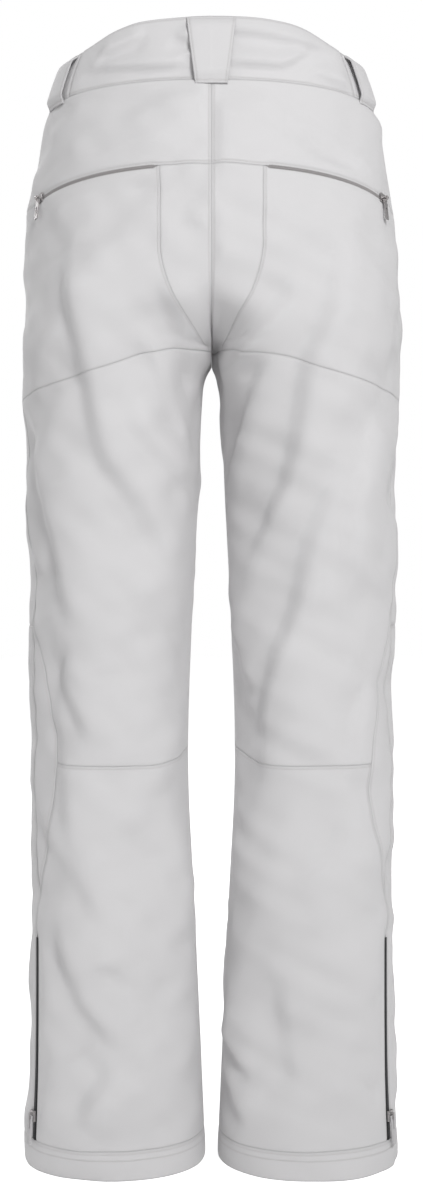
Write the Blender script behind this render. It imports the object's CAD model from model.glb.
import math
import bmesh
import bpy
import numpy as np
from bpy.props import FloatProperty, FloatVectorProperty, PointerProperty
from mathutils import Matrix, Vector


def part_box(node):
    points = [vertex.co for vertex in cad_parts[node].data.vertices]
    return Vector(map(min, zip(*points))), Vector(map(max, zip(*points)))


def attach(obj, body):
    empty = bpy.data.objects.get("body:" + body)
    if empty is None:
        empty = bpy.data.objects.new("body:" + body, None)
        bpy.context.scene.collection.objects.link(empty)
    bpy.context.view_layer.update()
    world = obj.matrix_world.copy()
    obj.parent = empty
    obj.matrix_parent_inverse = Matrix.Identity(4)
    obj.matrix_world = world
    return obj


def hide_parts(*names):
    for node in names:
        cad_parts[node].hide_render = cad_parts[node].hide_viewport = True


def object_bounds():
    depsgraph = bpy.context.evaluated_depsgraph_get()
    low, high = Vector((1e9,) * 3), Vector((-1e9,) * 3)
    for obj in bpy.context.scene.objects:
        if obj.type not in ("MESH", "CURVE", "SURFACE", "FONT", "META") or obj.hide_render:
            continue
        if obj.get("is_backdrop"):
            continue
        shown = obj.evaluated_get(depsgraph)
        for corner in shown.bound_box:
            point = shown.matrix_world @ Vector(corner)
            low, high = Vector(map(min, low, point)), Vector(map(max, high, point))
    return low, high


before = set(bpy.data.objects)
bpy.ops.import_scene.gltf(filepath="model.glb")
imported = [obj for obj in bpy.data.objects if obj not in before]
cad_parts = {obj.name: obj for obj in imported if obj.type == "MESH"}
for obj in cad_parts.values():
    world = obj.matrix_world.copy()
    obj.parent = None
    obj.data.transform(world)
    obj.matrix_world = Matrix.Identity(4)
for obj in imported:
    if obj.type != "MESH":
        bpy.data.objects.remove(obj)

bl_info = {
    "name": "Ski Pants",
    "version": (1, 0, 0),
    "blender": (4, 5, 0),
    "location": "View3D > Sidebar > Ski Pants",
    "description": "Soft-shell ski pants with sewn panels, zips, belt loops and boot gaiters",
    "category": "Object",
}

CAD_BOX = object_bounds()
MM = 0.001
SIDES = {"left": 1, "right": -1}

# ------------------------------------------------------------------ the surface, in millimetres
# As in the solids: t is 0 on the outside of the leg, 1 at the centre back or the back of the inseam,
# -1 at the centre front or the front of the inseam, and z is the height above the hem.
WAIST_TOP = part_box("waistband_back")[1][2] / MM
INSEAM = 787
WAIST_SEAM = 1023
POCKET = 940
HIP = 860
KNEE_SEAM = 388
FRONT_KNEE_SEAM = 520
HEM_BAND = 27
GORE_LOW, GORE_HIGH = 262, 545
LEG_ZIP_BACK, LEG_ZIP_LOW, LEG_ZIP_HIGH = 42, 20, 222
POCKET_INNER, POCKET_OUTER, POCKET_RISE = 0.8, 0.19, 0.2
HAND_FOOT, HAND_TOP = (-0.17, POCKET - 72), (-0.05, WAIST_SEAM - 16)
FLY_LOW, FLY_HIGH = WAIST_SEAM - 138, WAIST_SEAM - 20
TAPE_FACE = -0.8
LOOP_STAND = 6.5
SIDE_LOOP_T, SIDE_LOOP_WIDE = 0.22, 30
FLAP_PAST, FLAP_ROOT = 20, 14
GAITER_LOW, GAITER_HIGH = 14, 245
GUSSET_FACE = np.array([(-15, -8.6), (-9, -5.2), (-2, -2.6), (2, -2.6), (9, -5.2), (15, -8.6)])
GUSSET_THICK = 0.8
ZIP_SINKS = {"leg_zip": 0.55, "back_pocket_zip": 1.1, "hand_pocket_zip": 1.1, "fly_zip": 0.8}
FRONT_FOLD_SHIFT = {1: 0, -1: -14}
SENSOR, FLOOR_HALF = 36, 12.0
NO_STITCHES = 500.0
PLAIN = (0, 0, 0, 0)

# height, half width, inside of the leg, half depth, middle
STATIONS = np.array([
    (0, 184, 6, 74, 4),
    (105, 180, 10.5, 74, 4),
    (240, 178.5, 16.5, 78, 1),
    (393, 179, 23.3, 80, -6),
    (515, 180, 19.8, 85, -6),
    (INSEAM - 147, 182, 13.5, 94, -3),
    (INSEAM - 35, 185, 8.4, 106, 0),
    (INSEAM, 185.5, 0, 113, 1),
    (HIP, 185, 0, 123, 2),
    (POCKET, 176, 0, 121, 0),
    (WAIST_SEAM, 160, 0, 107, -3),
    (WAIST_TOP, 137, 0, 97, -3),
], float)


def through(stations):
    """A cubic through stations (x, y), whose tangents are harmonic means of the slopes: no overshoot."""
    x, y = np.array(stations, float).T
    h = np.diff(x)
    slope = np.diff(y) / h
    a, b = slope[:-1], slope[1:]
    total = np.where(a * b > 0, a + b, 1)
    tangent = np.concatenate([slope[:1], np.where(a * b > 0, 2 * a * b / total, 0), slope[-1:]])

    def curve(q):
        q = np.asarray(q, float)
        k = np.clip(np.searchsorted(x, q, side="right") - 1, 0, len(h) - 1)
        f = np.clip((q - x[k]) / h[k], 0, 1)
        bend = h[k] * f * (1 - f) * (tangent[k] * (1 - f) - tangent[k + 1] * f)
        return y[k] + (y[k + 1] - y[k]) * f * f * (3 - 2 * f) + bend
    return curve


half_width, leg_gap, half_depth, middle = (through(STATIONS[:, (0, k)]) for k in (1, 2, 3, 4))
merged = through([(0, 0), (0.09, 0.06), (0.22, 0.22), (0.48, 0.6), (0.77, 0.92), (1, 1)])
squareness = through([
    (INSEAM - 60, 2.15), (INSEAM + 10, 2.4), (INSEAM + 50, 3.1), (HIP + 10, 3.1), (POCKET, 2.15),
])


def outline_tables(heights, count=120, samples=181):
    """Superellipse halves at many heights, from the side to the centre, in equal steps of arc length."""
    half = half_width(heights)
    joined = heights > INSEAM
    inner = np.where(joined, -half * merged((heights - INSEAM) / (POCKET - INSEAM)), leg_gap(heights))
    centre, reach = (half + inner) / 2, (half - inner) / 2
    power = squareness(heights)
    cut = math.pi - np.arccos(np.minimum(1, np.maximum(0, centre / reach) ** (power / 2)))
    end = np.where(joined, cut, math.pi)[:, None]
    angle = end * np.linspace(0, 1, count + 1)[None, :]
    n = np.where(angle > math.pi / 2, power[:, None], 2.15)
    cos, sin = np.cos(angle), np.abs(np.sin(angle))
    x = centre[:, None] + reach[:, None] * np.sign(cos) * np.abs(cos) ** (2 / n)
    rise = half_depth(heights)[:, None] * sin ** (2 / n)
    step = np.hypot(np.diff(x), np.diff(rise))
    along = np.concatenate([np.zeros((len(heights), 1)), np.cumsum(step, axis=1)], axis=1)
    share = np.linspace(0, 1, samples)
    where = np.array([np.interp(share * s[-1], s, np.arange(count + 1)) for s in along])
    low = np.minimum(where.astype(int), count - 1)
    f = where - low
    pick = np.arange(len(heights))[:, None]
    even = [g[pick, low] * (1 - f) + g[pick, low + 1] * f for g in (x, rise)]
    return even[0], even[1], along[:, -1]


HEIGHTS = np.unique(np.concatenate([np.arange(0, WAIST_TOP + 12, 3.0), [INSEAM, INSEAM + 1, INSEAM + 2]]))
TABLE_X, TABLE_RISE, TABLE_LENGTH = outline_tables(HEIGHTS)


def right_half(t):
    """Whether t lies past a centre line."""
    return np.abs(t) > 1 + 1e-6


def folded(t):
    """The same place on the left half."""
    return np.where(t > 1, 2 - t, np.where(t < -1, -2 - t, t))


def on_pants(t, z):
    """The point of the outside at t and z, from the tables by straight interpolation both ways."""
    t, z = np.broadcast_arrays(np.asarray(t, float), np.asarray(z, float))
    u = folded(t)
    row = np.clip(np.searchsorted(HEIGHTS, z, side="right") - 1, 0, len(HEIGHTS) - 2)
    fz = np.clip((z - HEIGHTS[row]) / (HEIGHTS[row + 1] - HEIGHTS[row]), 0, 1)
    place = np.clip(np.abs(from_side(u, z)) / girth(z), 0, 1) * (TABLE_X.shape[1] - 1)
    col = np.minimum(place.astype(int), TABLE_X.shape[1] - 2)
    ft = place - col

    def look(table):
        low = table[row, col] * (1 - ft) + table[row, col + 1] * ft
        high = table[row + 1, col] * (1 - ft) + table[row + 1, col + 1] * ft
        return low * (1 - fz) + high * fz
    x = look(TABLE_X) * np.where(right_half(t), -1, 1)
    y = middle(z) + np.where(u < 0, -1, 1) * look(TABLE_RISE)
    return np.stack([x, y, z], axis=-1)


def girth(z):
    """Length of one half outline of the left half, at height z."""
    return np.interp(z, HEIGHTS, TABLE_LENGTH)


def calm_girth(z):
    """The same without the sudden change at the crotch: an even run from just below it to well above it."""
    low, high = INSEAM - 40, HIP + 15
    f = smooth((np.asarray(z, float) - low) / (high - low))
    inside = girth(low) + (girth(high) - girth(low)) * f
    return np.where((z > low) & (z < high), inside, girth(z))


def from_side(u, z):
    """Length round from the side to u: by the calm girth near the side, by the true one at the centre."""
    return np.sign(u) * (calm_girth(z) * np.abs(u) + (girth(z) - calm_girth(z)) * np.abs(u) ** 6)


def outward(t, z):
    """Unit normals from short steps round and up, which stay on one half."""
    t, z = np.broadcast_arrays(np.asarray(t, float), np.asarray(z, float))
    u = folded(t)
    step = 5 / girth(z)
    a, b = on_pants(np.maximum(-1, u - step), z), on_pants(np.minimum(1, u + step), z)
    crotch = (z > INSEAM) & (z < INSEAM + 5)
    c = on_pants(u, np.where(crotch, z, np.maximum(z - 4, 0)))
    d = on_pants(u, z + 4)
    n = -np.cross(d - c, b - a)
    n /= np.maximum(np.linalg.norm(n, axis=-1, keepdims=True), 1e-9)
    n[..., 0] *= np.where(right_half(t), -1, 1)
    return n


def smooth(x):
    """0 below 0, 1 above 1, with an even turn between."""
    x = np.clip(x, 0, 1)
    return x * x * (3 - 2 * x)


# ------------------------------------------------------------------ seam lines
band_top = through([
    (-1, 1044), (-0.5, 1048.25), (0, 1060), (0.3, 1067), (0.65, WAIST_TOP - 2), (1, WAIST_TOP),
])
band_seam = through([(-1, 1006), (-0.4, 1011.95), (0, 1020), (0.5, WAIST_SEAM), (1, WAIST_SEAM)])
seat_edge = through([(INSEAM, 0.88), (INSEAM + 40, 0.83), (POCKET, POCKET_INNER)])
thigh_seam = through([(0, INSEAM - 50), (0.35, INSEAM - 39), (0.68, INSEAM - 14), (1, INSEAM)])
knee_seam = through([(0, KNEE_SEAM + 4), (0.35, KNEE_SEAM + 1), (0.65, KNEE_SEAM), (1, KNEE_SEAM + 13)])
outseam_back = through([(0, 42), (222, 42), (GORE_LOW, 44), (GORE_HIGH, 37), (HIP, 8), (WAIST_TOP, 8)])
gore_back = through([(GORE_LOW, 44), (332, 68), (385, 74), (470, 56), (GORE_HIGH, 37)])
gore_front = through([(GORE_LOW, 44), (KNEE_SEAM, 37), (GORE_HIGH, 37)])
hand_line = through([HAND_FOOT[::-1], HAND_TOP[::-1]])
funnel = through([(GAITER_LOW, -24), (228, -12.5), (GAITER_HIGH, -3.3)])


def waist_top(t):
    """Height of the waistband's upper edge."""
    return band_top(folded(t))


def waist_seam(t):
    """Height of the seam under the waistband."""
    return band_seam(folded(t))


def yoke_seam(t):
    """The line where the surface meets a plane that rises towards the back."""
    z = np.full(np.shape(t), float(POCKET))
    for _ in range(4):
        z = POCKET + POCKET_RISE * (on_pants(folded(t), z)[..., 1] - half_depth(POCKET))
    return z


def beside_gore(gore):
    """The t of the side seam, which follows one edge of the gore at the knee."""
    return lambda z: np.where((z > GORE_LOW) & (z < GORE_HIGH), gore(z), outseam_back(z)) / girth(z)


back_edge, front_edge = beside_gore(gore_back), beside_gore(gore_front)


def as_t(distance):
    """An edge given in millimetres round from the side, as t."""
    return lambda z: distance(z) / girth(z)


# ------------------------------------------------------------------ folds in the cloth
# Each fold runs through points (round, up): millimetres back from the outside of the leg, and height.
# Then come its depth and its half width.
BACK_FOLDS = {
    1: [
        ([(108, 905), (114, 862), (124, 820), (133, 765), (135, 725), (143, 675), (160, 648), (178, 622),
          (196, 585), (214, 545)], 8.5, 14),
        ([(200, 845), (226, 800), (252, 760), (272, 720)], 7, 13),
        ([(185, 800), (205, 755), (228, 715), (250, 680)], 5, 12),
        ([(160, 722), (182, 696), (212, 668), (244, 646)], 5, 11),
        ([(40, 735), (58, 680), (74, 620), (92, 545), (104, 505)], 7, 14),
        ([(104, 508), (84, 470), (98, 440), (116, 404)], 6.5, 12),
        ([(66, 455), (80, 400), (88, 345), (92, 300)], 5, 13),
        ([(44, 345), (70, 310), (104, 272), (118, 236)], 5.5, 13),
        ([(70, 262), (84, 205), (102, 160), (128, 128), (130, 108)], 7.5, 13),
        ([(132, 112), (112, 82), (94, 48)], 7, 13),
        ([(106, 204), (132, 198), (146, 176)], 3.5, 10),
        ([(168, 345), (196, 300), (214, 235)], 3, 18),
        ([(216, 896), (240, 884), (262, 880)], 3, 7),
    ],
    -1: [
        ([(122, 905), (138, 852), (152, 805), (166, 762), (166, 715), (172, 665), (198, 612), (236, 560)],
         8.5, 15),
        ([(170, 846), (204, 806), (238, 778), (270, 762)], 7, 13),
        ([(198, 786), (218, 742), (240, 708), (280, 640)], 6.5, 13),
        ([(104, 712), (122, 672), (138, 625), (148, 590), (156, 540), (172, 485), (186, 425), (184, 352)],
         7.5, 15),
        ([(262, 530), (226, 490), (196, 452)], 5, 13),
        ([(84, 742), (100, 680), (110, 620), (112, 540)], 5, 14),
        ([(244, 132), (216, 108), (186, 88)], 5.5, 11),
        ([(236, 86), (214, 66), (190, 46)], 4.5, 11),
        ([(166, 196), (154, 135), (146, 76)], 4, 14),
        ([(62, 480), (88, 430), (98, 372)], 4, 13),
        ([(92, 346), (122, 300), (158, 276)], 4, 14),
        ([(240, 330), (232, 260), (240, 190)], 3.5, 16),
    ],
}
FRONT_FOLDS = [
    ([(-262, 806), (-215, 770), (-160, 742), (-110, 735)], 6.5, 13),
    ([(-268, 780), (-236, 725), (-200, 670), (-180, 600)], 6, 14),
    ([(-60, 810), (-84, 730), (-92, 640)], 5, 17),
    ([(-45, 560), (-95, 538), (-150, 546)], 5, 12),
    ([(-60, 470), (-120, 492), (-175, 478), (-215, 488)], 6, 13),
    ([(-70, 405), (-135, 372), (-195, 382)], 5.5, 13),
    ([(-50, 262), (-105, 215), (-160, 150)], 5, 14),
    ([(-190, 310), (-208, 220), (-180, 130)], 5, 15),
    ([(-100, 115), (-150, 84), (-215, 94)], 5.5, 12),
]
BAND_FOLDS = {
    1: [
        ([(74, 1044), (110, 1038), (165, 1034), (208, 1036)], 3.6, 6),
        ([(88, 1052), (118, 1060), (136, 1070)], 3, 6),
        ([(158, 1066), (186, 1058), (206, 1056)], 2.6, 5),
        ([(178, 1048), (196, 1040), (206, 1030)], 2.2, 5),
    ],
    -1: [
        ([(206, 1036), (150, 1036), (116, 1050), (92, 1064)], 3.8, 6),
        ([(196, 1068), (150, 1066), (108, 1062), (72, 1060)], 3.2, 6),
        ([(120, 1036), (90, 1030), (66, 1028)], 2.4, 6),
    ],
}


def crease(side, s, z, path, depth, wide):
    """Height of one fold along a curve: a ridge on the side that the light meets, a valley on the other.

    Across the curve both are bells, narrow towards each other and wide outwards. Along it they die out."""
    points = np.array(path, float)
    knots = np.concatenate([[0], np.cumsum(np.hypot(*np.diff(points, axis=0).T))])
    line = np.linspace(0, knots[-1], 28)
    px, pz = through(np.c_[knots, points[:, 0]])(line), through(np.c_[knots, points[:, 1]])(line)
    reach = 5 * wide
    out = np.zeros_like(s)
    near = (s > px.min() - reach) & (s < px.max() + reach)
    near &= (z > pz.min() - reach) & (z < pz.max() + reach)
    if not near.any():
        return out
    q = np.stack([s[near], z[near]], axis=1)[:, None, :]
    a = np.stack([px[:-1], pz[:-1]], axis=1)[None]
    ab = np.stack([np.diff(px), np.diff(pz)], axis=1)[None]
    along = ((q - a) * ab).sum(-1) / (ab ** 2).sum(-1)
    off = q - a - np.clip(along, 0, 1)[..., None] * ab
    gap = np.hypot(off[..., 0], off[..., 1])
    best = gap.argmin(axis=1)
    pick = np.arange(len(best))
    cross = ab[0, best, 0] * off[pick, best, 1] - ab[0, best, 1] * off[pick, best, 0]
    share = (best + np.clip(along[pick, best], 0, 1)) / (len(line) - 1)
    run = points[-1] - points[0]
    lit = 1 if -run[1] * side + 0.6 * run[0] > 0 else -1
    v = gap[pick, best] / wide * np.where(cross < 0, -lit, lit)
    ridge = np.exp(-((v - 0.75) / np.where(v < 0.75, 0.85, 2.5)) ** 2)
    valley = np.exp(-((v + 0.75) / np.where(v > -0.75, 0.85, 2.2)) ** 2)
    fade = smooth(np.minimum(share, 1 - share) * 3.6)
    out[near] = depth * fade * (0.55 * ridge - 0.5 * valley)
    return out


def ripples(s, z, side):
    """A sum of slanting sine waves with set lengths, directions and phases: the cloth's small unevenness."""
    rng = np.random.default_rng(7 if side > 0 else 11)
    total = np.zeros_like(s)
    for length in (34, 46, 61, 78, 104, 150, 210):
        for _ in range(2):
            turn, phase = rng.uniform(-1.2, 1.2), rng.uniform(0, 2 * math.pi)
            wave = (s * math.cos(turn) + 1.6 * z * math.sin(turn)) / length * 2 * math.pi
            bend = 0.8 * np.sin(z / 97 + phase) + 0.6 * np.sin(s / 71 + 2 * phase)
            total += 0.0042 * length ** 1.05 * np.sin(wave + phase + bend)
    return total


def relief(side, s, z):
    """How far the cloth stands off the smooth surface at s millimetres back from the side and at height z.

    It dies out at the centre and inner leg seams, under the waistband and by the zips. It is less at the
    side and near the hem, where seams keep the cloth taut."""
    folds = (BACK_FOLDS[side] if s.max() > 0 else []) + (FRONT_FOLDS if s.min() < 0 else [])
    total = ripples(s, z, side)
    for path, depth, wide in folds:
        shift = 0 if path[0][0] > 0 else FRONT_FOLD_SHIFT[side]
        moved = [(a, b + shift) for a, b in path]
        total = total + crease(side, s, z, moved, depth, wide)
    seam_reach = 12 + 22 * smooth((INSEAM - z) / 60)
    calm = smooth((girth(z) - np.abs(s)) / seam_reach) * smooth((WAIST_SEAM + 2 - z) / 26)
    outside = 0.4 + 0.6 * smooth(np.abs(s) / 34)
    hem = 0.35 + 0.65 * smooth(z / 60)
    return settings().fold_depth * total * calm * outside * hem * still_by_zips(s, z)


def still_by_zips(s, z):
    """0 along every zip, where the tape holds the cloth smooth, rising to 1 away from it."""
    t = s / girth(z)
    (t0, z0), (t1, z1) = HAND_FOOT, HAND_TOP
    hand = t0 + (t1 - t0) * np.clip((z - z0) / (z1 - z0), 0, 1)
    gaps = (
        np.hypot(s - outseam_back(z), np.maximum(z - LEG_ZIP_HIGH, 0)),
        np.hypot(z - yoke_seam(np.clip(t, POCKET_OUTER, POCKET_INNER)),
                 np.maximum(np.maximum(POCKET_OUTER - t, t - POCKET_INNER), 0) * girth(z)),
        np.hypot((t - hand) * girth(z), np.maximum(np.maximum(z0 - z, z - z1), 0)),
        np.hypot(np.maximum(s + girth(z) - 16, 0), np.maximum(FLY_LOW - 13 - z, 0)),
    )
    return smooth((np.minimum.reduce(gaps) - 5) / 16)


def band_relief(side, s, z):
    """The same for the waistband: puckers whose valleys level out above the lining behind them."""
    total = 0.34 * np.sin(s / 9.5 + side) * np.sin(z / 13 + 0.4 * s / 9.5)
    for path, depth, wide in BAND_FOLDS[side]:
        total = total + 1.5 * crease(side, s, z, path, depth, 0.85 * wide)
    total = np.where(total < 0, 1.3 * np.tanh(total / 1.3), total)
    return settings().fold_depth * total * smooth((girth(z) - np.abs(s)) / 14)


def settings():
    """The cloth's settings in this scene."""
    return bpy.context.scene.ski_cloth


# ------------------------------------------------------------------ grids and meshes
EDGE_STEPS = np.array([0, 0.6, 1.4, 2.6, 4.2, 6.4, 9])


def spread(width, count):
    """Distances across a width: fine steps of fixed size at both edges, and equal steps between."""
    width = np.asarray(width, float)
    shrink = np.minimum(1, width / (2.4 * EDGE_STEPS[-1]))[..., None]
    edge = EDGE_STEPS * shrink
    inner_width = width[..., None] - 2 * edge[..., -1:]
    inner = edge[..., -1:] + inner_width * (np.arange(1, count) / count)
    return np.concatenate([edge, inner, width[..., None] - edge[..., ::-1]], axis=-1)


def grid(start, stop, low, high, cell=None):
    """Places (t, z) in the patch between two t edges and two z edges, and the distances to all four.

    start and stop give t at a height, low and high give z at a t. A few rounds settle where they cross."""
    cell = cell or settings().cell / MM
    z_mid = float((np.mean(low(np.array([0.5]))) + np.mean(high(np.array([0.5])))) / 2)
    t_mid = np.array([float(np.mean(start(np.array([z_mid])) + stop(np.array([z_mid])))) / 2])
    z0, z1 = float(low(t_mid)[0]), float(high(t_mid)[0])
    zs = np.linspace(z0, z1, 9)
    width = float(np.max((stop(zs) - start(zs)) * girth(zs)))
    across = max(3, int(round((width - 18) / cell)))
    up = max(3, int(round((z1 - z0 - 18) / cell)))
    t = np.full((across + 2 * len(EDGE_STEPS) - 1, up + 2 * len(EDGE_STEPS) - 1), t_mid[0])
    z = np.full(t.shape, (z0 + z1) / 2)
    rank_i = np.arange(t.shape[0])[:, None] * np.ones(t.shape, int)
    rank_j = np.ones(t.shape, int) * np.arange(t.shape[1])[None, :]
    for _ in range(6):
        bottom, top = low(t), high(t)
        rise = np.take_along_axis(spread(top - bottom, up), rank_j[..., None], axis=-1)[..., 0]
        z = bottom + rise
        left, right = start(z), stop(z)
        wide = (right - left) * girth(z)
        along = np.take_along_axis(spread(wide, across), rank_i[..., None], axis=-1)[..., 0]
        t = left + along / girth(z)
    return t, z, (along, wide - along, rise, top - bottom - rise)


def roll(distance, depth, reach=1.9):
    """How far an edge turns in towards its seam at a distance from it."""
    return -depth * np.exp(-((distance / reach) ** 2) * 2.2)


def mesh_piece(name, points, faces, uvs, material, body, slot, smooth_faces, closed=False):
    """A piece from points in millimetres, faces of any size and named UV maps with one place per point.

    A closed piece has its faces turned outwards."""
    mesh = bpy.data.meshes.new(name)
    mesh.from_pydata((points * MM).tolist(), [], faces)
    if closed:
        recalculate(mesh)
    corners = np.empty(len(mesh.loops), dtype=np.int32)
    mesh.loops.foreach_get("vertex_index", corners)
    for key, uv in uvs.items():
        layer = mesh.uv_layers.new(name=key)
        layer.data.foreach_set("uv", np.ascontiguousarray(uv[corners], dtype=np.float32).ravel())
    mesh.polygons.foreach_set("use_smooth", np.full(len(mesh.polygons), smooth_faces))
    mesh.update()
    mesh.materials.append(material)
    piece = bpy.data.objects.new(name, mesh)
    bpy.context.scene.collection.objects.link(piece)
    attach(piece, body)
    return piece


def outward_faces(points, normals, m, n):
    """Four-cornered faces of an m by n grid, turned so that they look the way the normals point."""
    a = (np.arange(m - 1)[:, None] * n + np.arange(n - 1)[None, :]).ravel()
    quads = np.stack([a, a + n, a + n + 1, a + 1], axis=-1)
    p = points.reshape(-1, 3)
    a, b, d = (p[quads[:, k]] for k in (0, 1, 3))
    facing = (np.cross(b - a, d - a) * normals.reshape(-1, 3)[quads[:, 0]]).sum()
    return quads if facing > 0 else quads[:, ::-1]


def panel(node, side, start, stop, low, high, lift=0, seams=PLAIN, rows=(1, 1, 1, 1), folds=relief,
          material=None, thickness=None, cell=None, shape=None, body="pants", slot="shell_cloth"):
    """One sewn panel in place of a node: a patch of the surface with its folds, turned in at its seams.

    lift is the height above the surface, shape adds a height worked out from the grid, seams says how deep
    each of the four edges turns in, and rows how many rows of topstitching run beside it."""
    t, z, edges = grid(start, stop, low, high, cell)
    s = from_side(folded(t), z)
    height = np.full(t.shape, float(lift))
    if folds:
        half = np.where(right_half(t), -1, 1) * (side or 1)
        for one in (1, -1):
            if (half == one).any():
                height = np.where(half == one, height + folds(one, s, z), height)
    for distance, depth in zip(edges, seams):
        height = height + roll(distance, depth * settings().groove / MM)
    if shape is not None:
        height = height + shape(t, z, edges)
    normal = outward(t, z)
    points = on_pants(t, z) + normal * height[..., None]
    if side and np.abs(t).max() <= 1.0001:
        at_centre = (np.abs(t) > 1 - 1e-6) & (z > INSEAM)
        points[..., 0] = np.where(at_centre, 0, np.maximum(points[..., 0], 0.05))
    if side < 0:
        points[..., 0] *= -1
        normal[..., 0] *= -1
    faces = outward_faces(points, normal, *t.shape)
    ends = [(np.full_like(d, NO_STITCHES), np.minimum(d, 5), d)[count] for d, count in zip(edges, rows)]
    flat = np.stack([s, z], -1).reshape(-1, 2) * MM
    uvs = {
        "cloth": flat,
        "sides": np.stack(ends[:2], -1).reshape(-1, 2) * MM,
        "ends": np.stack(ends[2:], -1).reshape(-1, 2) * MM,
        "seams": np.stack([np.minimum.reduce(list(edges)), np.zeros_like(s)], -1).reshape(-1, 2) * MM,
    }
    piece = mesh_piece(f"{node}_cloth", points.reshape(-1, 3), faces.tolist(), uvs,
                       material or shell_material(), body, slot, smooth_faces=True)
    solid = piece.modifiers.new("cloth", "SOLIDIFY")
    solid.thickness = thickness or settings().thickness
    solid.offset = -1
    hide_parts(node)


def level(value):
    """An edge at one height or one t, whatever is asked of it."""
    return lambda q: np.full(np.shape(q), float(value))


# ------------------------------------------------------------------ shader groups
def new_group(name, inputs, outputs):
    """An empty node group with its named sockets, and its two end nodes."""
    group = bpy.data.node_groups.new(name, "ShaderNodeTree")
    for label, default in inputs.items():
        kind = "NodeSocketVector" if default is None else "NodeSocketFloat"
        socket = group.interface.new_socket(label, in_out="INPUT", socket_type=kind)
        if default is not None:
            socket.default_value = default
    for label in outputs:
        group.interface.new_socket(label, in_out="OUTPUT", socket_type="NodeSocketFloat")
    return group, group.nodes.new("NodeGroupInput"), group.nodes.new("NodeGroupOutput")


def wire(tree):
    """Short hands for adding a math node or a colour mix whose inputs are sockets or values."""
    def fill(node, values):
        for index, value in values:
            if isinstance(value, (int, float, tuple)):
                node.inputs[index].default_value = value
            else:
                tree.links.new(value, node.inputs[index])

    def calc(operation, *values):
        node = tree.nodes.new("ShaderNodeMath")
        node.operation = operation
        fill(node, enumerate(values))
        return node.outputs[0]

    def mix(factor, a, b):
        node = tree.nodes.new("ShaderNodeMix")
        node.data_type = "RGBA"
        fill(node, ((0, factor), (6, a), (7, b)))
        return node.outputs[2]
    return calc, mix


def weave_group():
    """Height and shade of a fine twill: two sets of threads that cross, each thread a rounded ridge."""
    name = "woven cloth"
    if name in bpy.data.node_groups:
        return bpy.data.node_groups[name]
    group, given, out = new_group(name, {"Place": None, "Threads per metre": 1700.0}, ("Height", "Shade"))
    calc, _ = wire(group)
    turns = calc("MULTIPLY", given.outputs["Threads per metre"], 2 * math.pi)
    across, up = (calc("MULTIPLY", part, turns) for part in split_of(group, given.outputs["Place"]))
    twill = calc("SINE", calc("ADD", across, up))
    warp = calc("SINE", calc("SUBTRACT", across, calc("MULTIPLY", up, 0.5)))
    height = calc("ADD", calc("MULTIPLY", twill, 0.6), calc("MULTIPLY", warp, 0.4))
    fuzz = noise_of(group, given.outputs["Place"], 420, 4)
    rough = calc("MULTIPLY", calc("SUBTRACT", fuzz, 0.5), 1.6)
    group.links.new(calc("ADD", height, rough), out.inputs["Height"])
    group.links.new(calc("ADD", calc("MULTIPLY", height, 0.5), 0.5), out.inputs["Shade"])
    return group


def stitch_group():
    """Mask of two rows of thread beside an edge: a band at each distance, broken into stitches along it."""
    name = "topstitching"
    if name in bpy.data.node_groups:
        return bpy.data.node_groups[name]
    group, given, out = new_group(name, {
        "Distance": 0.0, "Along": 0.0, "First row": 0.0024, "Second row": 0.0082, "Stitch": 0.0031,
        "Thread": 0.00042,
    }, ("Mask", "Furrow"))
    calc, _ = wire(group)
    masks, furrows = [], []
    for row in ("First row", "Second row"):
        away = calc("ABSOLUTE", calc("SUBTRACT", given.outputs["Distance"], given.outputs[row]))
        share = calc("DIVIDE", away, given.outputs["Thread"])
        masks.append(calc("MAXIMUM", calc("SUBTRACT", 1.0, calc("MULTIPLY", share, share)), 0.0))
        wide = calc("MULTIPLY", share, 0.4)
        furrows.append(calc("MAXIMUM", calc("SUBTRACT", 1.0, calc("MULTIPLY", wide, wide)), 0.0))
    beat = calc("FRACT", calc("DIVIDE", given.outputs["Along"], given.outputs["Stitch"]))
    bow = calc("MULTIPLY", calc("MULTIPLY", beat, calc("SUBTRACT", 1.0, beat)), 5.0)
    dash = calc("MINIMUM", bow, 1.0)
    rows = calc("MAXIMUM", *masks)
    group.links.new(calc("MULTIPLY", rows, dash), out.inputs["Mask"])
    group.links.new(calc("MAXIMUM", *furrows), out.inputs["Furrow"])
    return group


def new_material(name):
    """A material, its node tree and its Principled shader."""
    material = bpy.data.materials.new(name)
    material.use_nodes = True
    tree = material.node_tree
    return material, tree, tree.nodes["Principled BSDF"]


def uv_of(tree, name):
    """The socket of one UV map."""
    node = tree.nodes.new("ShaderNodeUVMap")
    node.uv_map = name
    return node.outputs[0]


def split_of(tree, vector):
    """The first two parts of a vector socket."""
    node = tree.nodes.new("ShaderNodeSeparateXYZ")
    tree.links.new(vector, node.inputs[0])
    return node.outputs[0], node.outputs[1]


def noise_of(tree, vector, scale, detail=3.0):
    """Noise from 0 to 1 at the places that a vector socket gives."""
    node = tree.nodes.new("ShaderNodeTexNoise")
    tree.links.new(vector, node.inputs["Vector"])
    node.inputs["Scale"].default_value = scale
    node.inputs["Detail"].default_value = detail
    return node.outputs[0]


def bump_from(tree, shader, height):
    """Feed a height in metres to a shader's normal."""
    bump = tree.nodes.new("ShaderNodeBump")
    bump.inputs["Distance"].default_value = 1.0
    tree.links.new(height, bump.inputs["Height"])
    tree.links.new(bump.outputs[0], shader.inputs["Normal"])


def opaque(color, share=1.0):
    """A colour, darkened or brightened by a share, with full alpha."""
    return tuple(min(1, c * share) for c in color[:3]) + (1,)


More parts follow.
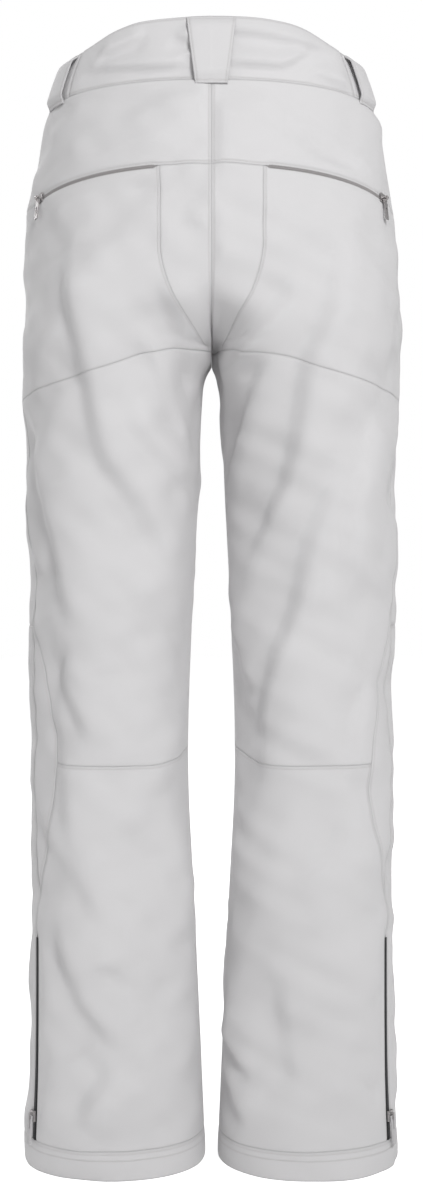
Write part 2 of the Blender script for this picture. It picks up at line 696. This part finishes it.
def stitched_cloth(name, color, thread, rough=0.86, sheen=0.25, threads=1700.0, weave=0.00005, stitches=True):
    """Woven cloth with slow colour variation, a little soil in the seams, and thread in rows by its edges."""
    if name in bpy.data.materials:
        return bpy.data.materials[name]
    material, tree, shader = new_material(name)
    calc, mix = wire(tree)
    cloth = uv_of(tree, "cloth")
    woven = tree.nodes.new("ShaderNodeGroup")
    woven.node_tree = weave_group()
    tree.links.new(cloth, woven.inputs["Place"])
    woven.inputs["Threads per metre"].default_value = threads
    cloud = noise_of(tree, cloth, 9)
    shade = calc("ADD", calc("MULTIPLY", cloud, 0.55), calc("MULTIPLY", woven.outputs["Shade"], 0.3))
    base = mix(shade, opaque(color, 0.93), opaque(color))
    near, _ = split_of(tree, uv_of(tree, "seams"))
    soil = calc("MULTIPLY", calc("MAXIMUM", calc("SUBTRACT", 1.0, calc("DIVIDE", near, 0.0018)), 0.0), 0.26)
    base = mix(soil, base, opaque(color, 0.42))
    height = calc("MULTIPLY", woven.outputs["Height"], weave)
    if stitches:
        along = split_of(tree, cloth)
        for layer, run_along in (("sides", along[1]), ("ends", along[0])):
            for distance in split_of(tree, uv_of(tree, layer)):
                rows = tree.nodes.new("ShaderNodeGroup")
                rows.node_tree = stitch_group()
                tree.links.new(distance, rows.inputs["Distance"])
                tree.links.new(run_along, rows.inputs["Along"])
                mask, furrow = rows.outputs["Mask"], rows.outputs["Furrow"]
                base = mix(calc("MULTIPLY", furrow, 0.09), base, opaque(color, 0.4))
                base = mix(calc("MULTIPLY", mask, 0.85), base, opaque(thread))
                height = calc("SUBTRACT", height, calc("MULTIPLY", furrow, 0.00022))
                height = calc("ADD", height, calc("MULTIPLY", mask, 0.00035))
    tree.links.new(base, shader.inputs["Base Color"])
    tree.links.new(calc("ADD", calc("MULTIPLY", cloud, 0.1), rough - 0.05), shader.inputs["Roughness"])
    bump_from(tree, shader, height)
    shader.inputs["Sheen Weight"].default_value = sheen
    shader.inputs["Sheen Roughness"].default_value = 0.5
    shader.inputs["Specular IOR Level"].default_value = 0.25
    return material


def shell_material():
    """The pale shell cloth with its topstitching."""
    return stitched_cloth("shell cloth", settings().shell_color, settings().thread_color)


def lining_material():
    """The brushed lining of the waist, pockets and gaiters."""
    cloth = settings()
    return stitched_cloth("brushed lining", cloth.lining_color, cloth.thread_color, 0.95, 0.6, 900.0, 0.0001)


def tape_material(name, color):
    """A woven tape with a coarser weave and no topstitching."""
    return stitched_cloth(name, color, color, 0.8, 0.1, 1100.0, 0.00012, stitches=False)


def grained_material(name, dark, light, patches, grain, depth, rough, rougher, metallic=0.0):
    """A hard surface with a fine grain, and slow patches that change its colour and roughness.

    patches is the scale and detail of their noise, grain the scale of its own and depth its height."""
    if name in bpy.data.materials:
        return bpy.data.materials[name]
    material, tree, shader = new_material(name)
    calc, mix = wire(tree)
    place = tree.nodes.new("ShaderNodeTexCoord").outputs["Object"]
    cloud = noise_of(tree, place, *patches)
    tree.links.new(mix(cloud, dark, light), shader.inputs["Base Color"])
    tree.links.new(calc("ADD", calc("MULTIPLY", cloud, rougher), rough), shader.inputs["Roughness"])
    shader.inputs["Metallic"].default_value = metallic
    bump_from(tree, shader, calc("MULTIPLY", noise_of(tree, place, grain, 2.0), depth))
    return material


def metal_material():
    """Satin zinc, brighter where it is worn."""
    color = bpy.context.scene.ski_hardware.metal_color
    return grained_material("zinc hardware", opaque(color), opaque(color, 1.25), (160, 5.0), 2600, 0.00004,
                            0.26, 0.22, 0.85)


def molded_material(name, color, rough=0.5):
    """Moulded plastic."""
    return grained_material(name, opaque(color, 0.82), opaque(color), (220, 4.0), 1500, 0.00005,
                            rough - 0.09, 0.18)


# ------------------------------------------------------------------ zip lines
def zip_path(t, z):
    """A line on the surface through many places (t, z), measured by its length.

    Gives a function from shares of the length to (place, across, normal, along), and the length."""
    places, normals = on_pants(t, z), outward(t, z)
    step = np.linalg.norm(np.diff(places, axis=0), axis=1)
    length = float(step.sum())
    share = np.concatenate([[0], np.cumsum(step)]) / length
    alongs = np.gradient(places, share, axis=0)

    def at(f, table):
        return np.stack([np.interp(f, share, table[:, k]) for k in range(3)], axis=-1)

    def path(f):
        f = np.asarray(f, float)
        normal, along = at(f, normals), at(f, alongs)
        along /= np.linalg.norm(along, axis=-1, keepdims=True)
        normal -= along * (normal * along).sum(-1, keepdims=True)
        normal /= np.linalg.norm(normal, axis=-1, keepdims=True)
        return at(f, places), np.cross(along, normal), normal, along
    return path, length


def zip_lines():
    """The four kinds of zip on the left half, by name."""
    f = np.linspace(0, 1, 160)
    leg = LEG_ZIP_LOW + 4 + (LEG_ZIP_HIGH - LEG_ZIP_LOW - 4) * f
    pocket = POCKET_OUTER + (POCKET_INNER - POCKET_OUTER) * f
    hand = [a + (b - a) * f for a, b in zip(HAND_FOOT, HAND_TOP)]
    fly = FLY_LOW + (FLY_HIGH - FLY_LOW) * f
    return {
        "leg_zip": zip_path(back_edge(leg), leg),
        "back_pocket_zip": zip_path(pocket, yoke_seam(pocket)),
        "hand_pocket_zip": zip_path(*hand),
        "fly_zip": zip_path(np.full(f.shape, -1.0), fly),
    }


def carried(path, shares, profile):
    """A closed profile of (across, up) carried along a path: rings of points."""
    place, across, normal, _ = path(shares)
    x, y = np.asarray(profile, float).T
    return place[:, None] + across[:, None] * x[None, :, None] + normal[:, None] * y[None, :, None]


def bar_faces(m, n):
    """Faces of a bar of m rings with n points each: those of its sides, and the two that close its ends."""
    i, j = np.arange(m - 1)[:, None], np.arange(n)[None, :]
    k = (j + 1) % n
    sides = np.stack([i * n + j, (i + 1) * n + j, (i + 1) * n + k, i * n + k], -1).reshape(-1, 4)
    return sides, np.array([np.arange(n), np.arange(n)[::-1] + (m - 1) * n])


def recalculate(mesh):
    """Turn all faces of a closed mesh outwards."""
    work = bmesh.new()
    work.from_mesh(mesh)
    bmesh.ops.recalc_face_normals(work, faces=work.faces)
    work.to_mesh(mesh)
    work.free()


def mirrored(points, side):
    """The same points, or on the right side their mirror image."""
    return points * (side, 1, 1)


def strip(name, path, shares, profile, side, material, slot, node, flat):
    """A closed strip of cloth carried along a zip, in place of a node, with each point's flat place."""
    rings = mirrored(carried(path, shares, profile), side)
    faces = [face for part in bar_faces(*rings.shape[:2]) for face in part.tolist()]
    uvs = {"cloth": flat.reshape(-1, 2) * MM, "seams": np.ones((rings[..., 0].size, 2))}
    piece = mesh_piece(name, rings.reshape(-1, 3), faces, uvs, material, "pants", slot,
                       smooth_faces=False, closed=True)
    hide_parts(node)
    return piece


def zip_tape(node, path, length, side, material, slot, sink):
    """The two woven tapes as one thin strip with a raised cord at each side of the coil."""
    shares = np.linspace(0.01, 0.99, max(8, int(length / 5)))
    x = np.array([-4.5, -4.5, -3, -2.2, -1.5, 0, 1.5, 2.2, 3, 4.5, 4.5])
    y = np.array([-0.75, -0.1, -0.05, 0.12, 0, -0.05, 0, 0.12, -0.05, -0.1, -0.75]) + TAPE_FACE - sink
    width = np.cumsum(np.abs(np.diff(x, prepend=x[0])))
    flat = np.stack(np.meshgrid(shares * length, width, indexing="ij"), -1)[..., ::-1]
    strip(f"{node}_tape", path, shares, np.c_[x, y], side, material, slot, node, flat)


def zip_teeth(node, path, length, side, material, slot, sink):
    """A closed coil: elements of one rounded shape in two rows, set half a pitch apart along the path."""
    pitch = bpy.context.scene.ski_hardware.tooth_pitch / MM
    count = int(length * 0.97 / pitch)
    corners, rings = 6, 4
    ring = np.linspace(0, 2 * math.pi, corners, endpoint=False)
    swell = np.array([0.55, 1, 1, 0.4])
    tilt = np.array([0, 0.05, 0.22, 0.3]) * pitch
    up = (np.sin(ring)[None] * 0.42 * swell[:, None]).ravel() + 0.35 + TAPE_FACE - sink
    on = (np.cos(ring)[None] * 0.4 * pitch * swell[:, None]).ravel() + np.repeat(tilt, corners)
    rows = []
    for row in (-1, 1):
        shares = (np.arange(count) + (0.5 if row > 0 else 0)) * pitch / length + 0.015
        place, across, normal, along = (part[:, None] for part in path(shares))
        out = np.repeat(np.array([-1.75, -1.3, 0.35, 0.7]) * row, corners)
        rows.append(place + across * out[:, None] + normal * up[:, None] + along * on[:, None])
    points = mirrored(np.concatenate(rows), side)
    sides, ends = bar_faces(rings, corners)
    first = np.arange(len(points))[:, None, None] * rings * corners
    faces = [face for part in (sides, ends[:1], ends[1:])
             for face in (first + part).reshape(-1, part.shape[-1]).tolist()]
    mesh_piece(f"{node}_coil", points.reshape(-1, 3), faces, {}, material, "pants", slot,
               smooth_faces=True, closed=True)


# ------------------------------------------------------------------ settings
def length_of(name, description, default):
    """A setting in metres."""
    return FloatProperty(name=name, description=description, default=default, unit="LENGTH")


def color_of(name, description, *default):
    """A colour setting."""
    return FloatVectorProperty(name=name, description=description, default=default, subtype="COLOR", size=3)


class SkiPantsCloth(bpy.types.PropertyGroup):
    """Sizes and colours of the cloth"""
    cell: length_of("Cell", "Size of the mesh cells", 0.0042)
    thickness: length_of("Thickness", "Thickness of the shell cloth", 0.0013)
    groove: length_of("Seam depth", "How deep edges turn in at a seam", 0.00075)
    fold_depth: FloatProperty(name="Folds", description="Strength of all folds", default=1.4)
    shell_color: color_of("Shell", "Shell cloth", 0.68, 0.672, 0.68)
    lining_color: color_of("Lining", "Lining", 0.5, 0.49, 0.5)
    thread_color: color_of("Thread", "Topstitching", 0.62, 0.6, 0.6)


class SkiPantsHardware(bpy.types.PropertyGroup):
    """Sizes and colours of zips and closures"""
    tooth_pitch: length_of("Pitch", "Spacing of the coil's turns", 0.0014)
    dark_color: color_of("Dark tape", "Dark zips", 0.026, 0.026, 0.028)
    pale_color: color_of("Pale tape", "Pale zips", 0.42, 0.4, 0.4)
    metal_color: color_of("Metal", "Sliders and snaps", 0.4, 0.385, 0.385)
    pull_color: color_of("Pull", "Moulded pulls", 0.55, 0.54, 0.55)


class SkiPantsStage(bpy.types.PropertyGroup):
    """The camera and the studio"""
    camera_distance: length_of("Distance", "Camera to the middle", 1.42)
    camera_height: length_of("Height", "Camera above the floor", 0.5445)
    view_height: length_of("View", "Height seen at the middle", 1.188)
    sky: FloatProperty(name="Sky", description="Strength of the even light from all round", default=0.42)
    key_power: FloatProperty(name="Key", description="Power of the key light", default=54.0, unit="POWER")
    floor_glow: FloatProperty(name="Floor glow", description="Light that the floor gives off", default=0.62)
    floor_color: color_of("Floor", "Floor", 0.94, 0.94, 0.94)


# ------------------------------------------------------------------ operators
# Half of each zip's slot, and how deep and how wide the cloth sinks beside it.
POCKET_GAP = 1.1
LEG_GAP, LEG_GAP_MORE = 1.5, 1.1
LIP_DEPTH, LIP_HALF = 1.25, 5.2
HAND_DEPTH, HAND_HALF = 1.9, 2.6
HAND_SLOPE, HAND_SLOPE_HALF = 0.9, 5.4
FLY_DEPTH = 2.9


def trench(away, half):
    """1 along a line, falling to 0 beyond a half width from it."""
    return np.exp(-(away / half) ** 4)


def leg_gap_at(z):
    """Half of the slot that the leg zip needs, as t, closing just above it."""
    wide = LEG_GAP + LEG_GAP_MORE * smooth((130 - z) / 90)
    return wide * smooth((LEG_ZIP_HIGH + 3 - z) / 6) / girth(z)


def pocket_gap_at(t):
    """Half of the back pocket's slot in millimetres, closing at both ends of the zip."""
    return POCKET_GAP * smooth((t - POCKET_OUTER + 0.02) / 0.025) * smooth((POCKET_INNER - 0.004 - t) / 0.02)


def lips(t, z, edges):
    """Cloth beside a zip sinks under its slider."""
    leg = trench(folded(t) * girth(z) - outseam_back(z), LIP_HALF) * smooth((LEG_ZIP_HIGH + 8 - z) / 8)
    pocket = trench(z - yoke_seam(t), LIP_HALF) * pocket_gap_at(t) / POCKET_GAP
    return -LIP_DEPTH * (leg + pocket)


def front_lips(t, z, edges):
    """The front panel sinks along the hand pocket's zip and the fly too."""
    (t0, z0), (t1, z1) = HAND_FOOT, HAND_TOP
    away = (folded(t) - t0 - (t1 - t0) * (z - z0) / (z1 - z0)) * girth(z)
    inside = smooth((z - z0 + 6) / 6) * smooth((z1 + 6 - z) / 6)
    hand = HAND_DEPTH * trench(away, HAND_HALF) + HAND_SLOPE * trench(away, HAND_SLOPE_HALF)
    fly = FLY_DEPTH * trench((1 + folded(t)) * girth(z), LIP_HALF) * smooth((z - FLY_LOW + 6) / 6)
    return lips(t, z, edges) - hand * inside - fly


class SKIPANTS_OT_shell(bpy.types.Operator):
    """Make the sewn shell panels of both halves"""
    bl_idname = "ski_pants.shell"
    bl_label = "Shell panels"

    def execute(self, context):
        one, minus = level(1), level(-1)
        hem, front_knee = level(HEM_BAND), level(FRONT_KNEE_SEAM)
        gore = as_t(gore_front), as_t(gore_back), level(GORE_LOW + 1), level(GORE_HIGH - 1)

        def yoke_low(t):
            return yoke_seam(t) + pocket_gap_at(t)

        def hip_high(t):
            return yoke_seam(t) - pocket_gap_at(t)

        def calf_side(z):
            return back_edge(z) + leg_gap_at(z)

        def shin_side(z):
            return front_edge(z) - leg_gap_at(z)

        # edges, depths of the turned-in seams, rows of topstitching, shape
        spans = {
            "back_yoke": ((back_edge, one, yoke_low, waist_seam), (0.4, 0.55, 0.5, 1.2), (0, 1, 1, 0), lips),
            "seat_panel": ((seat_edge, one, thigh_seam, hip_high), (0.5, 0.55, 0.5, 0.5), (0, 1, 0, 0), lips),
            "hip_panel": ((back_edge, seat_edge, thigh_seam, hip_high), (0.4, 0.5, 0.5, 0.5), (0, 1, 0, 0),
                          lips),
            "back_thigh_panel": ((back_edge, one, knee_seam, thigh_seam), (0.7, 0.8, 0.8, 0.6), PLAIN, None),
            "calf_panel": ((calf_side, one, hem, knee_seam), (0.7, 0.8, 0.7, 0.8), (1, 0, 0, 1), lips),
            "knee_gore": (gore, (1, 1, 0, 0), (1, 1, 0, 0), None),
            "front_panel": ((minus, front_edge, front_knee, waist_seam), (1, 0.4, 1, 1.2), (0, 0, 1, 0),
                            front_lips),
            "shin_panel": ((minus, shin_side, hem, front_knee), (0.8, 0.7, 0.7, 0.8), (0, 1, 0, 1), lips),
        }
        for word, side in SIDES.items():
            for name, (borders, seams, rows, shape) in spans.items():
                panel(f"{name}_{word}", side, *borders, seams=seams, rows=rows, shape=shape)
        return {"FINISHED"}


def turned_edge(t, z, edges):
    """The hem's rounded lower edge, and a dip for the leg zip's slider."""
    dip = trench(t * girth(z) - LEG_ZIP_BACK, 5.5) * smooth((z - 14) / 5)
    return 0.35 * np.exp(-((z - 13) / 9) ** 2) - 0.8 * dip


class SKIPANTS_OT_hems(bpy.types.Operator):
    """Make the turned hems"""
    bl_idname = "ski_pants.hems"
    bl_label = "Hems"

    def execute(self, context):
        for word, side in SIDES.items():
            panel(f"hem_band_{word}", side, level(-1), level(1), level(0.02), level(HEM_BAND),
                  seams=(0, 0, 0.5, 0.8), rows=(0, 0, 0, 2), shape=turned_edge, thickness=0.0018)
        return {"FINISHED"}


def share_up(edges):
    """0 at a piece's lower edge and 1 at its upper edge."""
    return edges[2] / np.maximum(edges[2] + edges[3], 1e-6)


def loop_rise(t, z, edges):
    """A strap lies on the cloth at both ends and bows off it between them."""
    share = share_up(edges)
    rounded = 0.35 * np.exp(-(np.minimum(edges[0], edges[1]) / 1.2) ** 2)
    return (LOOP_STAND - 2) * smooth(6 * np.minimum(share, 1 - share)) - rounded


def band_swell(t, z, edges):
    """The waistband swells a little between its seams."""
    return 0.7 * np.sin(np.pi * share_up(edges))


def strap_edges(t, top_wide, foot_wide, low, high):
    """The two side edges of a strap about one t, whose width in millimetres runs from foot to top."""
    def half(z):
        return (foot_wide + (top_wide - foot_wide) * np.clip((z - low) / (high - low), 0, 1)) / 2 / girth(z)
    return (lambda z: t - half(z)), (lambda z: t + half(z))


class SKIPANTS_OT_waistband(bpy.types.Operator):
    """Make the waistband, its lining and the belt loops"""
    bl_idname = "ski_pants.waistband"
    bl_label = "Waistband and loops"

    def execute(self, context):
        seam_t = SIDE_LOOP_T + SIDE_LOOP_WIDE / 2 / float(girth(WAIST_SEAM)) + 0.02
        band = dict(folds=band_relief, shape=band_swell, cell=2.6, thickness=0.0015)
        panel("waistband_back", 0, level(seam_t), level(2 - seam_t), waist_seam, waist_top,
              seams=(0.8, 0.8, 1.2, 0.9), **band)
        for word, side in SIDES.items():
            panel(f"waistband_front_{word}", side, level(-1), level(seam_t), waist_seam, waist_top,
                  seams=(0.6, 0.8, 1.2, 0.9), rows=(1, 0, 1, 1), **band)
        panel("waist_lining", 0, level(-0.96), level(2.96), lambda t: waist_seam(t) - 2,
              lambda t: waist_top(t) - 2, lift=-2.6, rows=(0, 0, 1, 1), folds=None,
              material=lining_material(), slot="lining_cloth", thickness=0.0009)
        self.loops()
        return {"FINISHED"}

    def loops(self):
        """A loop at the centre back that narrows downwards, and straight ones at the sides and the front."""
        strap = dict(lift=1.7, folds=None, shape=loop_rise, cell=2.5, thickness=0.0013)
        low, high = WAIST_SEAM - 5, WAIST_TOP - 2
        panel("back_belt_loop", 0, *strap_edges(1, 46, 30, low, high), level(low), level(high), **strap)
        for name, t, wide in (("side", SIDE_LOOP_T, SIDE_LOOP_WIDE), ("front", -0.55, 22)):
            foot, head = float(waist_seam(np.array(t))) - 5, float(waist_top(np.array(t))) - 1
            start, stop = strap_edges(t, wide, wide, foot, head)
            for word, side in SIDES.items():
                panel(f"{name}_belt_loop_{word}", side, start, stop, level(foot), level(head), **strap)


class SKIPANTS_OT_zips(bpy.types.Operator):
    """Make the zip tapes and coils"""
    bl_idname = "ski_pants.zips"
    bl_label = "Zips"

    def execute(self, context):
        hardware = context.scene.ski_hardware
        finishes = {
            f"{word}_zip_tape": (tape_material(f"{word} zip tape", color),
                                 molded_material(f"{word} coil", tuple(c * share for c in color), 0.45))
            for word, color, share in (
                ("dark", hardware.dark_color, 1.6), ("pale", hardware.pale_color, 0.75))
        }
        for name, (path, length) in zip_lines().items():
            slot = "pale_zip_tape" if name == "back_pocket_zip" else "dark_zip_tape"
            tape, coil = finishes[slot]
            halves = {"": 1} if name == "fly_zip" else {f"_{word}": side for word, side in SIDES.items()}
            for ending, side in halves.items():
                zip_tape(f"{name}{ending}", path, length, side, tape, slot, ZIP_SINKS[name])
                zip_teeth(f"{name}{ending}", path, length, side, coil, slot, ZIP_SINKS[name])
        return {"FINISHED"}


class SKIPANTS_OT_hardware(bpy.types.Operator):
    """Give the sliders, pulls and snaps their finishes"""
    bl_idname = "ski_pants.hardware"
    bl_label = "Sliders, pulls and snaps"

    def execute(self, context):
        pull = molded_material("moulded pull", context.scene.ski_hardware.pull_color)
        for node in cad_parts:
            if "slider" in node or "_pull" in node or "snap" in node:
                finish = pull if "leg_zip_pull" in node else metal_material()
                data = bpy.data.objects[node].data
                data.materials.clear()
                data.materials.append(finish)
        return {"FINISHED"}


def flap_rise(t, z, edges):
    """The flap and the tab rise from their sewn side."""
    return 5.3 * smooth(edges[1] / np.maximum(edges[0] + edges[1], 1e-6) / 0.3)


class SKIPANTS_OT_fly(bpy.types.Operator):
    """Make the fly's flap and the waist tab"""
    bl_idname = "ski_pants.fly"
    bl_label = "Fly"

    def execute(self, context):
        ends = as_t(lambda z: -girth(z) - FLAP_PAST), as_t(lambda z: -girth(z) + FLAP_ROOT)
        common = dict(lift=2.1, seams=(0.5, 0.3, 0, 0), folds=None, shape=flap_rise, cell=4,
                      body="front_flap")
        panel("fly_flap", 0, *ends, level(FLY_LOW - 13), lambda t: waist_seam(t) - 0.3, rows=(1, 1, 1, 0),
              **common)
        panel("waist_tab", 0, *ends, lambda t: waist_seam(t) + 0.3, waist_top, rows=(1, 1, 0, 1), **common)
        return {"FINISHED"}


def gathered_funnel(t, z, edges):
    """The gaiter's funnel, with soft upright gathers above its elastic mouth."""
    gathers = 1.1 * np.sin(t * 60) * np.exp(-((z - 20) / 40) ** 2)
    return funnel(z) + gathers - 1.5


def hand_bag_edge(z):
    """The side edge of the hand pocket's bag, 9 mm behind the zip."""
    return hand_line(z) + 9 / girth(z)


class SKIPANTS_OT_inside(bpy.types.Operator):
    """Make the gaiters, gussets and pocket bags"""
    bl_idname = "ski_pants.inside"
    bl_label = "Inside pieces"

    def execute(self, context):
        lining = dict(material=lining_material(), slot="lining_cloth")
        bag = dict(lift=-4.2, thickness=0.0013, **lining)
        for word, side in SIDES.items():
            panel(f"boot_gaiter_{word}", side, level(-1), level(1), level(GAITER_LOW), level(GAITER_HIGH),
                  rows=(0, 0, 1, 1), shape=gathered_funnel, thickness=0.0009, **lining)
            panel(f"hand_pocket_bag_{word}", side, level(-0.62), hand_bag_edge, level(HIP - 20),
                  lambda t: waist_seam(t) - 2.6, **bag)
            panel(f"back_pocket_bag_{word}", side, level(0.16), level(0.83), level(POCKET - 105),
                  lambda t: yoke_seam(t) + 9, **bag)
        dark = tape_material("dark gusset", context.scene.ski_hardware.dark_color)
        path, length = zip_lines()["leg_zip"]
        shares = np.linspace(0, 1, 40)
        x, y = GUSSET_FACE.T
        profile = np.r_[GUSSET_FACE, np.c_[x, y - GUSSET_THICK][::-1]]
        flat = np.stack(np.meshgrid(shares * length, profile[:, 0], indexing="ij"), -1)
        for word, side in SIDES.items():
            node = f"zip_gusset_{word}"
            piece = strip(f"{node}_cloth", path, shares, profile, side, dark, "dark_zip_tape", node, flat)
        return {"FINISHED"}


def area_light(name, place, target, size, power):
    """A round lamp that looks at a target."""
    data = bpy.data.lights.new(name, "AREA")
    data.shape = "DISK"
    data.size = size
    data.energy = power
    lamp = bpy.data.objects.new(name, data)
    lamp.location = place
    lamp.rotation_euler = (Vector(target) - Vector(place)).to_track_quat("-Z", "Y").to_euler()
    bpy.context.scene.collection.objects.link(lamp)


class SKIPANTS_OT_stage(bpy.types.Operator):
    """Make the floor, the lights and the camera"""
    bl_idname = "ski_pants.stage"
    bl_label = "Stage"

    def execute(self, context):
        stage = context.scene.ski_stage
        mesh = bpy.data.meshes.new("floor")
        corners = [(x * FLOOR_HALF, y * FLOOR_HALF, 0) for x, y in ((-1, -1), (1, -1), (1, 1), (-1, 1))]
        mesh.from_pydata(corners, [], [(0, 1, 2, 3)])
        floor = bpy.data.objects.new("floor", mesh)
        context.scene.collection.objects.link(floor)
        material, tree, shader = new_material("pale floor")
        shader.inputs["Base Color"].default_value = tuple(stage.floor_color) + (1,)
        shader.inputs["Roughness"].default_value = 0.9
        shader.inputs["Emission Color"].default_value = (1, 1, 1, 1)
        calc, _ = wire(tree)
        seen = tree.nodes.new("ShaderNodeLightPath").outputs["Is Camera Ray"]
        tree.links.new(calc("MULTIPLY", seen, stage.floor_glow), shader.inputs["Emission Strength"])
        mesh.materials.append(material)
        floor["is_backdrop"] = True
        world = bpy.data.worlds.new("studio")
        world.use_nodes = True
        tree = world.node_tree
        sky = tree.nodes["Background"]
        sky.inputs[0].default_value = (1, 1, 1, 1)
        calc, _ = wire(tree)
        seen = tree.nodes.new("ShaderNodeLightPath").outputs["Is Camera Ray"]
        tree.links.new(calc("ADD", calc("MULTIPLY", seen, 1.0 - stage.sky), stage.sky), sky.inputs[1])
        context.scene.world = world
        context.scene.view_settings.view_transform = "Standard"
        area_light("key", (-0.8, 2.5, 2.2), (0, 0, 0.7), 0.8, stage.key_power)
        area_light("front key", (1.6, -2.2, 1.8), (0, 0, 0.6), 1.4, stage.key_power * 0.8)
        data = bpy.data.cameras.new("camera")
        data.sensor_width = SENSOR
        data.lens = SENSOR * stage.camera_distance / stage.view_height
        camera = bpy.data.objects.new("camera", data)
        camera.location = (0, stage.camera_distance, stage.camera_height)
        camera.rotation_euler = (math.pi / 2, 0, math.pi)
        context.scene.collection.objects.link(camera)
        context.scene.camera = camera
        return {"FINISHED"}


OPERATORS = (
    SKIPANTS_OT_shell, SKIPANTS_OT_hems, SKIPANTS_OT_waistband, SKIPANTS_OT_zips, SKIPANTS_OT_hardware,
    SKIPANTS_OT_fly, SKIPANTS_OT_inside, SKIPANTS_OT_stage,
)


class SKIPANTS_PT_panel(bpy.types.Panel):
    """Buttons for each group of pieces"""
    bl_label = "Ski Pants"
    bl_idname = "SKIPANTS_PT_panel"
    bl_space_type = "VIEW_3D"
    bl_region_type = "UI"
    bl_category = "Ski Pants"

    def draw(self, context):
        for group in (context.scene.ski_cloth, context.scene.ski_hardware, context.scene.ski_stage):
            for key in group.__annotations__:
                self.layout.prop(group, key)
        for operator in OPERATORS:
            self.layout.operator(operator.bl_idname)


GROUPS = {"ski_cloth": SkiPantsCloth, "ski_hardware": SkiPantsHardware, "ski_stage": SkiPantsStage}


def register():
    for cls in (*GROUPS.values(), *OPERATORS, SKIPANTS_PT_panel):
        bpy.utils.register_class(cls)
    for name, cls in GROUPS.items():
        setattr(bpy.types.Scene, name, PointerProperty(type=cls))


def unregister():
    for name in GROUPS:
        delattr(bpy.types.Scene, name)
    for cls in reversed((*GROUPS.values(), *OPERATORS, SKIPANTS_PT_panel)):
        bpy.utils.unregister_class(cls)


def main():
    register()
    for operator in OPERATORS:
        group, name = operator.bl_idname.split(".")
        getattr(getattr(bpy.ops, group), name)()
    sizes = {"cad": CAD_BOX, "visual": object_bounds()}
    plain = {key: [[float(v) for v in corner] for corner in box] for key, box in sizes.items()}


if __name__ == "__main__":
    main()
